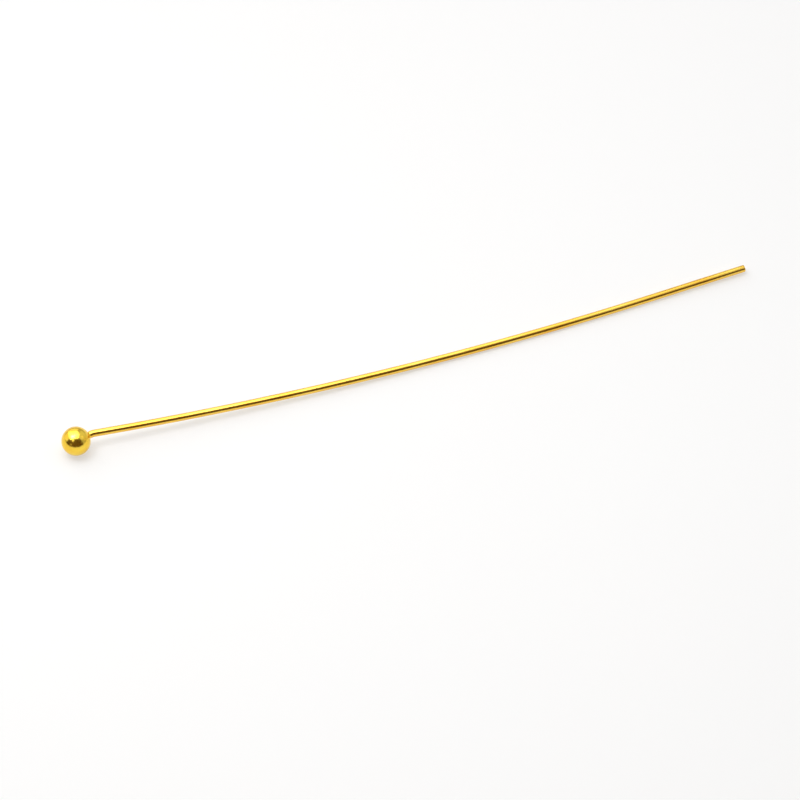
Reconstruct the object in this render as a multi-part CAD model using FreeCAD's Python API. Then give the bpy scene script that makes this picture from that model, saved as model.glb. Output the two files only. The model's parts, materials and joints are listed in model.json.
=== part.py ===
import FreeCAD, Part

import math
import os

Vector = FreeCAD.Vector
UP = Vector(0, 0, 1)
ORIGIN = Vector(0, 0, 0)

# Driving dimensions, in millimetres and degrees
wire_diameter = 0.5         # round wire of the shank
ball_diameter = 2.0         # ball that stops a bead from sliding off
pin_length = 50.0           # along the wire, from the crown of the ball to the cut tip
neck_round = 0.08           # hollow round between ball and wire
neck_length = 0.1           # straight wire between that round and the kink
kink_turn = 15.0            # the wire bends right just behind the ball
kink_radius = 1.0
bow_radius = 295.0          # and then bows gently to the left
tip_length = 7.0            # straight stretch that ends in the cut
tip_round = 0.03            # edge of the cut, dulled by tumbling

# Sizes that follow from them
wire_radius = wire_diameter / 2
ball_radius = ball_diameter / 2
round_reach = math.sqrt((ball_radius + neck_round) ** 2 - (wire_radius + neck_round) ** 2)
kink_start = round_reach + neck_length
kink_length = math.radians(kink_turn) * kink_radius
bow_length = pin_length - ball_radius - kink_start - kink_length - tip_length


def make_head():
    """Ball, hollow round and short straight neck, turned as one profile about the wire's axis."""
    crown = Vector(-ball_radius, 0, 0)
    flank = Vector(0, ball_radius, 0)
    round_centre = Vector(round_reach, wire_radius + neck_round, 0)
    seam = round_centre * (ball_radius / round_centre.Length)
    round_end = Vector(round_reach, wire_radius, 0)
    towards_seam = (seam - round_centre).normalize()
    towards_wire = Vector(0, -1, 0)
    round_middle = round_centre + (towards_seam + towards_wire).normalize() * neck_round
    neck_edge = Vector(kink_start, wire_radius, 0)
    neck_centre = Vector(kink_start, 0, 0)
    outline = Part.Wire([
        Part.Arc(crown, flank, seam).toShape(),
        Part.Arc(seam, round_middle, round_end).toShape(),
        Part.LineSegment(round_end, neck_edge).toShape(),
        Part.LineSegment(neck_edge, neck_centre).toShape(),
        Part.LineSegment(neck_centre, crown).toShape(),
    ])
    return Part.Face(outline).revolve(ORIGIN, Vector(1, 0, 0), 360)


def straight(start, heading, length):
    """Straight stretch of centreline. Gives the edge, its end and its heading there."""
    end = start + heading * length
    return Part.LineSegment(start, end).toShape(), end, heading


def bend(start, heading, radius, turn):
    """Arc of centreline that turns left by an angle in degrees, or right if it is negative."""
    side = math.copysign(1.0, turn)
    centre = start + UP.cross(heading) * (side * radius)
    half_way = FreeCAD.Rotation(UP, turn / 2)
    whole_way = FreeCAD.Rotation(UP, turn)
    middle = centre + half_way.multVec(start - centre)
    end = centre + whole_way.multVec(start - centre)
    return Part.Arc(start, middle, end).toShape(), end, whole_way.multVec(heading)


def make_centreline():
    """Shank's centreline in the plane of its bends, from the neck's end to the cut tip."""
    point = Vector(kink_start, 0, 0)
    heading = Vector(1, 0, 0)
    kink, point, heading = bend(point, heading, kink_radius, -kink_turn)
    bow_turn = math.degrees(bow_length / bow_radius)
    bow, point, heading = bend(point, heading, bow_radius, bow_turn)
    tip, point, heading = straight(point, heading, tip_length)
    return Part.Wire([kink, bow, tip])


def make_shank(centreline):
    """Round wire carried along the centreline, with the edge of its cut end dulled."""
    start = Vector(kink_start, 0, 0)
    section = Part.Face(Part.Wire(Part.makeCircle(wire_radius, start, Vector(1, 0, 0))))
    shank = centreline.makePipe(section)
    cut_centre = centreline.OrderedVertexes[-1].Point
    cut_edges = [edge for edge in shank.Edges
                 if edge.Closed and edge.CenterOfMass.distanceToPoint(cut_centre) < wire_radius / 10]
    return shank.makeFillet(tip_round, cut_edges)


def lay_down(pin, centreline):
    """Roll and turn the pin to the way it lies: on its ball and on the belly of its bow.

    It settles with its weight straight above the line between its two touches. So it touches
    where the ray from the ball's centre through the centre of mass meets the wire, the wire is
    level there, and the pin is rolled about the wire's heading at that point by the angle whose
    sine is the ball's radius less the wire's, over the ball's distance from that heading.
    """
    balance = pin.CenterOfGravity
    outwards = Vector(balance).normalize()
    ray = Part.LineSegment(balance, outwards * pin_length).toShape()
    touch = centreline.distToShape(ray)[1][0][0]
    touched = min(centreline.Edges, key=lambda edge: edge.distToShape(Part.Vertex(touch))[0])
    heading = touched.tangentAt(touched.Curve.parameter(touch))
    sideways = (ORIGIN - touch).dot(UP.cross(heading))
    roll = math.degrees(math.asin((ball_radius - wire_radius) / sideways))
    pin.rotate(touch, heading, roll)
    tip = FreeCAD.Rotation(heading, roll).multVec(centreline.OrderedVertexes[-1].Point - touch)
    ball = FreeCAD.Rotation(heading, roll).multVec(ORIGIN - touch)
    along = tip - ball
    pin.rotate(touch, UP, -math.degrees(math.atan2(along.y, along.x)))
    pin.translate(UP * (wire_radius - touch.z))
    box = pin.optimalBoundingBox(False)
    pin.translate(Vector(-box.Center.x, -box.Center.y, 0))
    return pin


def make_pin():
    """Whole pin, one solid, lying along +X with its ball at the low end of X."""
    centreline = make_centreline()
    pin = make_head().fuse(make_shank(centreline)).Solids[0]
    return lay_down(pin, centreline)


os.makedirs("parts", exist_ok=True)
make_pin().exportStep("parts/ball_head_pin.step")
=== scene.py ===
"""Looks of a ball head pin: gold-plated brass wire with a polished ball, lying on white paper."""
import json

import bpy
import numpy as np
from mathutils import Matrix, Vector


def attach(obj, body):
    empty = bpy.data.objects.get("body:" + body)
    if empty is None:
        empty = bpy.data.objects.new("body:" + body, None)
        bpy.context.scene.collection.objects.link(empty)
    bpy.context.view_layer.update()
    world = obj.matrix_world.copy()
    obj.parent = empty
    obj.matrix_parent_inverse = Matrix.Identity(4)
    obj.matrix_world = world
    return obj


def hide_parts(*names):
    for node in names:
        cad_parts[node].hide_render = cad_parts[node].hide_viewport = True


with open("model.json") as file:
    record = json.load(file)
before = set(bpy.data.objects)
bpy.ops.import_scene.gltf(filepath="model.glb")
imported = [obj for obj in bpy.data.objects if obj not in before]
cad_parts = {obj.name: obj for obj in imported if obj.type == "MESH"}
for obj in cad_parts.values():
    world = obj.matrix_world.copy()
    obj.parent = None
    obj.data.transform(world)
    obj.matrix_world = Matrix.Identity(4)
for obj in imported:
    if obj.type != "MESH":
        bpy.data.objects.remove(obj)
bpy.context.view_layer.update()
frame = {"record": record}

MM = 0.001
mounts = {mount["name"]: mount for mount in frame["record"]["mounts"]}

# Sizes of the pin in millimetres, as its solid has them
wire_radius = 0.25
ball_radius = 1.0
pin_length = 50.0           # along the wire, from the crown of the ball to the cut tip
neck_round = 0.08           # hollow round between ball and wire
neck_length = 0.1           # straight wire between that round and the kink
kink_turn = np.radians(15.0)    # to the right, just behind the ball
kink_radius = 1.0
bow_radius = 295.0          # gentle bow to the left
tip_length = 7.0            # straight stretch that ends in the cut
tip_round = 0.03            # dulled edge of the cut

# Sizes that follow from them. Distances along the pin start at the ball's centre
round_reach = np.sqrt((ball_radius + neck_round) ** 2 - (wire_radius + neck_round) ** 2)
kink_start = round_reach + neck_length
kink_length = kink_turn * kink_radius
tip_end = pin_length - ball_radius
bow_length = tip_end - kink_start - kink_length - tip_length
rounding = 1e-9             # allowed where a distance is compared with the tip's end

# Fineness of the mesh
around = 96                 # faces round the wire and the ball
ball_steps = 72
round_steps = 8
neck_steps = 3
kink_steps = 24
bow_steps = 128
tip_steps = 16
cap_steps = 5

# Ball's out-of-roundness: height of the waves in millimetres, and for each wave how often it
# repeats round the ball's girth and along its length, and its phase in radians
ripple_height = 0.0016
ripple_waves = ((5, 4, 0.3), (9, 7, 1.9), (14, 11, 4.1))

# Finishes of the gold plating. Tones go from thin plating to full, and roughness from the places
# that are polished best to those that are polished least. Sizes and depths are in millimetres, and
# patterns per millimetre run across the wire, square to its bends' plane, and along the wire
on_ball, on_wire, on_cut = range(3)
noise_low, noise_high = 0.3, 0.7        # nearly all of a noise lies between these
cloud_noise = {"Detail": 2.0, "Roughness": 0.5}
mark_noise = {"Detail": 3.0, "Roughness": 0.6}

ball_tones = ("#f1c23c", "#fad852")
ball_roughness = (0.15, 0.24)
ball_cloud_size = 0.7
hairline_size = 0.06
hairline_depth = 0.002
hairline_strength = 0.25

wire_tones = ("#edb744", "#f8d260")
wire_roughness = (0.16, 0.28)
wire_clouds_per_mm = (1.5, 1.5, 0.35)
die_lines_per_mm = (18.0, 18.0, 0.25)
die_line_depth = 0.004
die_line_strength = 0.3

cut_tones = ("#c8933a", "#e6bd5c")
cut_roughness = 0.38
drag_lines_per_mm = (30.0, 2.0, 1.0)
drag_line_depth = 0.006
drag_line_strength = 0.5

# Camera, as in the photograph: azimuth 0 looks along +Y
view_azimuth = np.radians(-19.4)
view_elevation = np.radians(50.0)
view_distance = 0.300       # metres, to the plane square to the view through the ball's centre
nearest_seen = 0.01         # metres
picture_size = 800          # pixels
pixels_per_mm = 14.75       # at the ball
ball_pixel = (76.0, 441.1)  # where the ball's centre shows, with room for the whole pin
sensor_width = 36.0         # millimetres

# Paper and card, in metres from the ball
plain_white = "#ffffff"
paper_colour = "#f7f7f7"
paper_roughness = 0.9
paper_gloss = 0.1           # where a plain surface has 0.5
paper_whiteness = 0.5       # share of plain white that the camera and the metal see in the paper
paper_half = 2.0
card_colour = "#765c38"
card_roughness = 0.95
card_distance = 0.36        # on the camera's side
card_sides = (-1.33, 0.60)  # to the camera's right
card_height = 1.0

# Light, in metres from the ball. A brightness of 1 is that of white paper in full light. Each lamp,
# softbox or window has its brightness on top of the tent's, its width and depth, and its place to
# the camera's right, away from the camera and up
tent_brightness = 0.51
lamps = {
    "left softbox": (0.62, (0.42, 0.36), (-0.33, 0.14, 0.19)),
    "right softbox": (0.25, (0.46, 0.36), (0.32, 0.16, 0.17)),
    "rear softbox": (0.80, (0.21, 0.20), (-0.065, 0.16, 0.125)),
    "overhead softbox": (0.60, (0.30, 0.26), (-0.063, 0.023, 0.30)),
    "low softbox": (1.4, (0.084, 0.054), (-0.005, 0.002, 0.075)),
    "end softbox": (0.35, (0.05, 0.045), (0.085, 0.0, 0.08)),
    "glint softbox": (5.5, (0.36, 0.30), (-0.225, -0.050, 0.555)),
    "glow softbox": (1.2, (0.80, 0.60), (-0.16, 0.18, 0.56)),
    "key lamp": (7.0, (0.17, 0.12), (-0.22, 0.0, 0.59)),
    "small window": (0.5, (0.08, 0.06), (-0.20, -0.27, 0.100)),
    "narrow window": (1.6, (0.070, 0.14), (-0.110, -0.18, 0.30)),
}
seen_in_metal_only = ("glint softbox", "glow softbox")      # they add no light to the paper


def linear(hex_colour):
    """sRGB hex to linear red, green, blue and 1."""
    srgb = np.array([int(hex_colour[i:i + 2], 16) for i in (1, 3, 5)]) / 255.0
    low = srgb / 12.92
    high = ((srgb + 0.055) / 1.055) ** 2.4
    return (*np.where(srgb <= 0.04045, low, high).tolist(), 1.0)


def node(tree, kind, inputs=None, **settings):
    """Adds a node, sets its properties, and fills its inputs with values or other nodes' outputs."""
    made = tree.nodes.new(kind)
    for name, value in settings.items():
        setattr(made, name, value)
    for name, value in (inputs or {}).items():
        if isinstance(value, bpy.types.NodeSocket):
            tree.links.new(value, made.inputs[name])
        else:
            made.inputs[name].default_value = value
    return made


def bend_plane():
    """Ball's centre in millimetres, then the wire's heading there, its left side and the plane's normal.

    The wire leaves the ball along one mount's axis and ends along the other's. Both lie in the plane
    of the bends, and the whole turn between them is to the right, so the normal is the cross product
    of the second with the first.
    """
    seat, tip = mounts["bead_seat"], mounts["shank_tip"]
    centre = np.array(seat["pos_m"]) / MM
    heading = np.array(seat["axis"]) / np.linalg.norm(seat["axis"])
    normal = np.cross(tip["axis"], heading)
    normal /= np.linalg.norm(normal)
    return centre, heading, np.cross(normal, heading), normal


def outline():
    """Distance along the pin and radius for every ring of the pin, from the ball's crown to the cut.

    The ball is a circle about zero: the distance is minus its radius times the cosine of an angle,
    and the ring's radius is its radius times the sine. A hollow round leads to the wire, whose radius
    stays the same to the tip. There a quarter circle dulls the edge of the cut, and the rings shrink
    to a point on the flat face.
    """
    seam = np.arctan2(wire_radius + neck_round, round_reach)
    angle = np.linspace(0.0, np.pi - seam, ball_steps + 1)
    ball = (-ball_radius * np.cos(angle), ball_radius * np.sin(angle))
    turn = np.linspace(np.pi / 2 - seam, 0.0, round_steps + 1)[1:]
    hollow = (round_reach - neck_round * np.sin(turn), wire_radius + neck_round * (1 - np.cos(turn)))
    stretches = ((neck_length, neck_steps), (kink_length, kink_steps), (bow_length, bow_steps),
                 (tip_length - tip_round, tip_steps))
    steps = np.concatenate([np.full(count, length / count) for length, count in stretches])
    along = round_reach + np.cumsum(steps)
    wire = (along, np.full(along.size, wire_radius))
    turn = np.linspace(0.0, np.pi / 2, round_steps + 1)[1:]
    edge = (tip_end - tip_round * (1 - np.sin(turn)), wire_radius - tip_round * (1 - np.cos(turn)))
    face_radius = np.linspace(wire_radius - tip_round, 0.0, cap_steps + 1)[1:]
    face = (np.full(face_radius.size, tip_end), face_radius)
    distance, radius = (np.concatenate(part) for part in zip(ball, hollow, wire, edge, face))
    return distance, radius


def follow(distance):
    """Points of the centreline in the plane of the bends, and its headings, at distances along it.

    The heading is the sum of each bend's curvature times the length of it that has been passed. The
    wire is straight between bends. Each step is the chord of its arc: the step times the sine of
    half its turn over half its turn, in the direction of the mean heading.
    """
    starts = np.array([kink_start, kink_start + kink_length])
    lengths = np.array([kink_length, bow_length])
    curvatures = np.array([-1 / kink_radius, 1 / bow_radius])
    passed = np.clip(distance[:, None] - starts, 0.0, lengths)
    heading = passed @ curvatures
    step = np.diff(distance)
    half_turn = np.diff(heading) / 2
    mean = heading[:-1] + half_turn
    chord = step * np.sinc(half_turn / np.pi)
    steps = chord[:, None] * np.stack([np.cos(mean), np.sin(mean)], axis=1)
    first = np.array([[distance[0], 0.0]])
    return np.concatenate([first, first + np.cumsum(steps, axis=0)]), heading


def ripples(distance, turn):
    """Out-of-roundness of a tumbled ball: three crossed waves over its girth and its length, fading
    out at the crown and at the neck with the fourth power of the ring's size."""
    cosine = np.clip(-distance / ball_radius, -1.0, 1.0)
    fade = (1 - cosine ** 2) ** 2 * (distance < round_reach)
    waves = sum(np.sin(girth * turn + phase) * np.sin(length * cosine[:, None] * np.pi + phase)
                for girth, length, phase in ripple_waves)
    return ripple_height * fade[:, None] * waves


def carry(distance, radius):
    """Rings of points in millimetres along the centreline, and the same rings rolled out straight.

    A point is the centreline's point plus the ring's radius times the cosine of the turn sideways
    and its sine along the plane's normal. Rolled out, these two come first and the distance third.
    """
    flat, heading = follow(distance)
    centre, ahead, left, normal = bend_plane()
    middle = centre + flat[:, :1] * ahead + flat[:, 1:] * left
    sideways = np.cos(heading)[:, None] * left - np.sin(heading)[:, None] * ahead
    turn = np.arange(around) * 2 * np.pi / around
    ring_radius = radius[:, None] + ripples(distance, turn)
    across = ring_radius * np.cos(turn)
    upward = ring_radius * np.sin(turn)
    points = middle[:, None] + across[..., None] * sideways[:, None] + upward[..., None] * normal
    along = np.broadcast_to(distance[:, None], across.shape)
    return points, np.stack([across, upward, along], axis=-1)


def points_of(rings):
    """Points of all rings as one list. The first and last ring have no width, so each gives one
    point, and these two come at the end."""
    return np.concatenate([rings[1:-1].reshape(-1, 3), rings[0, :1], rings[-1, :1]])


def faces_over(rings):
    """Faces over a number of wide rings, all outwards: a fan at the crown, squares between the rings
    and a fan over the cut."""
    side = np.arange(around)
    next_side = (side + 1) % around
    start = np.arange(rings - 1)[:, None] * around
    squares = np.stack([start + side, start + next_side,
                        start + around + next_side, start + around + side], axis=-1)
    last = (rings - 1) * around
    crown = np.full(around, rings * around)
    crown_fan = np.stack([crown, next_side, side], axis=1)
    cut_fan = np.stack([crown + 1, last + side, last + next_side], axis=1)
    return crown_fan.tolist() + squares.reshape(-1, 4).tolist() + cut_fan.tolist()


def finish_of_faces(distance):
    """Number of the finish of every face. The ball's finish reaches to the end of the hollow round,
    and the cut's covers the flat face at the tip."""
    between = (distance[:-1] + distance[1:]) / 2
    finish = np.where(between < round_reach, on_ball, on_wire)
    finish = np.where(distance[:-1] >= tip_end - rounding, on_cut, finish)
    return np.repeat(finish, around)


def make_pin():
    """Whole pin as one closed surface: rings of the outline carried along the centreline."""
    distance, radius = outline()
    points, rolled_out = carry(distance, radius)
    mesh = bpy.data.meshes.new("ball_head_pin_plated")
    mesh.from_pydata((points_of(points) * MM).tolist(), [], faces_over(distance.size - 2))
    store = mesh.attributes.new("rolled_out", "FLOAT_VECTOR", "POINT")
    store.data.foreach_set("vector", points_of(rolled_out).ravel())
    mesh.polygons.foreach_set("material_index", finish_of_faces(distance))
    mesh.polygons.foreach_set("use_smooth", np.ones(len(mesh.polygons), bool))
    mesh.update()
    pin = bpy.data.objects.new("ball_head_pin_plated", mesh)
    bpy.context.scene.collection.objects.link(pin)
    return pin


def new_material(name, inputs):
    """Material with one surface shader that has these inputs. Gives it with its tree and surface."""
    material = bpy.data.materials.new(name)
    material.use_nodes = True
    tree = material.node_tree
    tree.nodes.clear()
    surface = node(tree, "ShaderNodeBsdfPrincipled", inputs)
    node(tree, "ShaderNodeOutputMaterial", {"Surface": surface.outputs["BSDF"]})
    return material, tree, surface


def plate(tree, surface, tones, clouds, marks, depth, strength, roughness=None):
    """Plating over marked metal: the clouds' noise takes its tone from thin to full, and the marks'
    noise gives its relief. Where two values of roughness are given, it takes it from one to the other
    as well."""
    tone = node(tree, "ShaderNodeValToRGB", {"Fac": clouds.outputs["Fac"]})
    for stop, position, colour in zip(tone.color_ramp.elements, (noise_low, noise_high), tones):
        stop.position = position
        stop.color = linear(colour)
    tree.links.new(tone.outputs["Color"], surface.inputs["Base Color"])
    relief = node(tree, "ShaderNodeBump", {"Height": marks.outputs["Fac"], "Distance": depth * MM,
                                           "Strength": strength})
    tree.links.new(relief.outputs["Normal"], surface.inputs["Normal"])
    if roughness:
        gloss = node(tree, "ShaderNodeMapRange", {
            "Value": marks.outputs["Fac"], "From Min": noise_low, "From Max": noise_high,
            "To Min": roughness[0], "To Max": roughness[1]})
        tree.links.new(gloss.outputs["Result"], surface.inputs["Roughness"])


def polished_plating():
    """Gold plating over a brass ball, barrel-polished: a mirror with faint cloudy patches where the
    plating is thinner, and hairline scratches that soften its reflections a little. The scratches
    are drawn several times as coarse as real ones, so that they show."""
    material, tree, surface = new_material("gold plating, barrel polished", {"Metallic": 1.0})
    place = node(tree, "ShaderNodeTexCoord").outputs["Object"]
    clouds = node(tree, "ShaderNodeTexNoise", {"Vector": place, "Scale": 1 / (ball_cloud_size * MM),
                                               **cloud_noise})
    hairlines = node(tree, "ShaderNodeTexNoise", {"Vector": place, "Scale": 1 / (hairline_size * MM),
                                                  **mark_noise})
    plate(tree, surface, ball_tones, clouds, hairlines, hairline_depth, hairline_strength,
          ball_roughness)
    return material


def drawn_plating():
    """Gold plating over drawn brass wire: die lines run along the wire and spread its highlight
    sideways, and the plating is a little thinner and redder in long patches. The lines are drawn
    about four times as coarse as real ones, so that they show."""
    material, tree, surface = new_material("gold plating on drawn brass wire", {"Metallic": 1.0})
    rolled_out = node(tree, "ShaderNodeAttribute", attribute_name="rolled_out").outputs["Vector"]
    patches = node(tree, "ShaderNodeMapping", {"Vector": rolled_out, "Scale": wire_clouds_per_mm})
    clouds = node(tree, "ShaderNodeTexNoise", {"Vector": patches.outputs["Vector"], "Scale": 1.0,
                                               **cloud_noise})
    drawn = node(tree, "ShaderNodeMapping", {"Vector": rolled_out, "Scale": die_lines_per_mm})
    lines = node(tree, "ShaderNodeTexNoise", {"Vector": drawn.outputs["Vector"], "Scale": 1.0,
                                              **mark_noise})
    plate(tree, surface, wire_tones, clouds, lines, die_line_depth, die_line_strength,
          wire_roughness)
    return material


def sheared_end():
    """Cut face of the wire, sheared by a blade before plating: fine parallel drag lines across a
    duller, slightly browner gold."""
    material, tree, surface = new_material("gold plating on a sheared end",
                                           {"Metallic": 1.0, "Roughness": cut_roughness})
    rolled_out = node(tree, "ShaderNodeAttribute", attribute_name="rolled_out").outputs["Vector"]
    sheared = node(tree, "ShaderNodeMapping", {"Vector": rolled_out, "Scale": drag_lines_per_mm})
    drag = node(tree, "ShaderNodeTexNoise", {"Vector": sheared.outputs["Vector"], "Scale": 1.0,
                                             **cloud_noise})
    plate(tree, surface, cut_tones, drag, drag, drag_line_depth, drag_line_strength)
    return material


def white_paper():
    """White matte paper. The camera and the metal see it part plain white, part as it is lit, so that
    it looks white all over and keeps the pin's shadow."""
    material, tree, surface = new_material("white matte paper", {
        "Base Color": linear(paper_colour), "Roughness": paper_roughness,
        "Specular IOR Level": paper_gloss})
    ray = node(tree, "ShaderNodeLightPath").outputs
    seen = node(tree, "ShaderNodeMath", {0: ray["Is Camera Ray"], 1: ray["Is Glossy Ray"]},
                operation="ADD")
    seen = node(tree, "ShaderNodeMath", {0: seen.outputs[0], 1: ray["Is Transmission Ray"]},
                operation="ADD", use_clamp=True)
    share = node(tree, "ShaderNodeMath", {0: seen.outputs[0], 1: paper_whiteness},
                 operation="MULTIPLY")
    white = node(tree, "ShaderNodeEmission", {"Color": linear(plain_white), "Strength": 1.0})
    mixed = node(tree, "ShaderNodeMixShader", {0: share.outputs[0], 1: surface.outputs["BSDF"],
                                               2: white.outputs["Emission"]})
    tree.links.new(mixed.outputs["Shader"], tree.nodes["Material Output"].inputs["Surface"])
    return material


def brown_card():
    """Matte brown card without any gloss. It gives the metal its dark band."""
    material, _, _ = new_material("brown card", {
        "Base Color": linear(card_colour), "Roughness": card_roughness, "Specular IOR Level": 0.0})
    return material


def sheet(name, corners, material):
    """Flat sheet with four corners, which are points in metres."""
    mesh = bpy.data.meshes.new(name)
    mesh.from_pydata(corners, [], [(0, 1, 2, 3)])
    mesh.materials.append(material)
    made = bpy.data.objects.new(name, mesh)
    bpy.context.scene.collection.objects.link(made)
    return made


def rig_place(rightwards, forwards, height):
    """Point in the scene for distances from the ball to the camera's right, away from it and up."""
    sin_a, cos_a = np.sin(view_azimuth), np.cos(view_azimuth)
    ball = mounts["bead_seat"]["pos_m"]
    return Vector((ball[0] + cos_a * rightwards - sin_a * forwards,
                   ball[1] + sin_a * rightwards + cos_a * forwards, height))


def make_paper():
    """Paper that the pin lies on."""
    half = paper_half
    corners = [(-half, -half, 0), (half, -half, 0), (half, half, 0), (-half, half, 0)]
    paper = sheet("paper", corners, white_paper())


def make_card():
    """Card that stands on the paper on the camera's side. The camera doesn't see it."""
    left, right = card_sides
    corners = [rig_place(side, -card_distance, height)
               for side, height in ((left, card_height), (right, card_height), (right, 0), (left, 0))]
    card = sheet("brown_card", corners, brown_card())
    card.visible_camera = False


def light_lamp(name, brightness, size, place):
    """Rectangular lamp that faces the ball, with its width across the camera's view. Its power is
    its brightness times pi times its area."""
    data = bpy.data.lights.new(name, "AREA")
    data.shape = "RECTANGLE"
    width, depth = size
    data.size = width
    data.size_y = depth
    data.energy = brightness * np.pi * width * depth
    lamp = bpy.data.objects.new(name, data)
    outwards = (rig_place(*place) - rig_place(0, 0, 0)).normalized()
    rightwards = Vector((np.cos(view_azimuth), np.sin(view_azimuth), 0.0))
    across = (rightwards - outwards * rightwards.dot(outwards)).normalized()
    axes = Matrix((across, outwards.cross(across), outwards)).transposed()
    lamp.matrix_world = Matrix.Translation(rig_place(*place)) @ axes.to_4x4()
    lamp.visible_camera = False
    lamp.visible_diffuse = name not in seen_in_metal_only
    bpy.context.scene.collection.objects.link(lamp)


def light_tent():
    """Plain white light from all sides."""
    world = bpy.data.worlds.new("light tent")
    bpy.context.scene.world = world
    world.use_nodes = True
    tree = world.node_tree
    tree.nodes.clear()
    white = node(tree, "ShaderNodeBackground", {"Color": linear(plain_white),
                                                "Strength": tent_brightness})
    node(tree, "ShaderNodeOutputWorld", {"Surface": white.outputs["Background"]})


def view_axes():
    """Unit vectors of the camera: to the right, up, and back from the pin to the camera."""
    sin_a, cos_a = np.sin(view_azimuth), np.cos(view_azimuth)
    sin_e, cos_e = np.sin(view_elevation), np.cos(view_elevation)
    right = np.array([cos_a, sin_a, 0.0])
    back = np.array([sin_a * cos_e, -cos_a * cos_e, sin_e])
    return right, np.cross(back, right), back


def make_camera():
    """Camera at the photograph's angle and scale, aimed so that the ball shows at its pixel."""
    right, up, back = view_axes()
    ball = np.array(mounts["bead_seat"]["pos_m"])
    middle = picture_size / 2
    metres_per_pixel = MM / pixels_per_mm
    aim = ball + (right * (middle - ball_pixel[0]) - up * (middle - ball_pixel[1])) * metres_per_pixel
    data = bpy.data.cameras.new("camera")
    data.sensor_width = sensor_width
    data.lens = sensor_width * view_distance / (picture_size * metres_per_pixel)
    data.clip_start = nearest_seen
    camera = bpy.data.objects.new("camera", data)
    camera.location = aim + back * view_distance
    camera.rotation_mode = "QUATERNION"
    camera.rotation_quaternion = Vector(-back).to_track_quat("-Z", "Y")
    bpy.context.scene.collection.objects.link(camera)
    bpy.context.scene.camera = camera


pin = make_pin()
for finish in (polished_plating(), drawn_plating(), sheared_end()):
    pin.data.materials.append(finish)
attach(pin, "root")
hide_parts("ball_head_pin")

make_paper()
make_card()
light_tent()
for name, (brightness, size, place) in lamps.items():
    light_lamp(name, brightness, size, place)
make_camera()

bpy.context.scene.view_settings.view_transform = "Standard"
